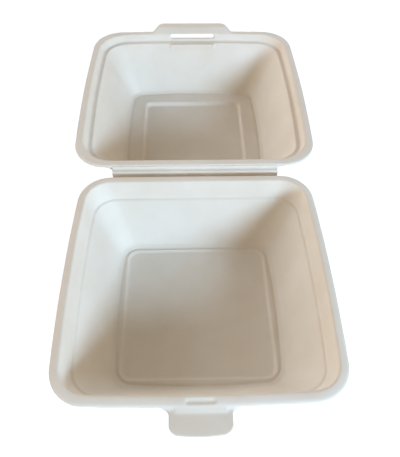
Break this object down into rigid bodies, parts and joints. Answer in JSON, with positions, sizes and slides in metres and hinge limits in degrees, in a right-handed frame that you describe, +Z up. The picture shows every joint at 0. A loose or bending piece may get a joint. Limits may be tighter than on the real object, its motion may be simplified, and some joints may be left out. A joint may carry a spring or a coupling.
{
  "type": "foam clamshell container",
  "caption": "Square foam takeaway box, shown open: a tapered base tray with a tongue, and a hinged lid with a slot that the tongue locks into.",
  "frame": {"origin": "middle of the flat foot under the base tray", "axes": "+Z up; +Y from the base, across the hinge, to the lid that lies open; X along the hinge"},
  "size_m": [0.1528, 0.3137, 0.0468],
  "materials": {
    "foam": "soft matt cream-white foam skin"
  },
  "bodies": {
    "base": {"base_tray": "foam", "hinge_web": "foam"},
    "lid": {"lid": "foam"}
  },
  "joints": [
    {"name": "lid_hinge", "type": "hinge", "parent": "base", "child": "lid", "pos_m": [0, 0.0749, 0.04115], "axis": [1, 0, 0], "range_deg": [0, 177], "deforming": ["hinge_web"]}
  ]
}
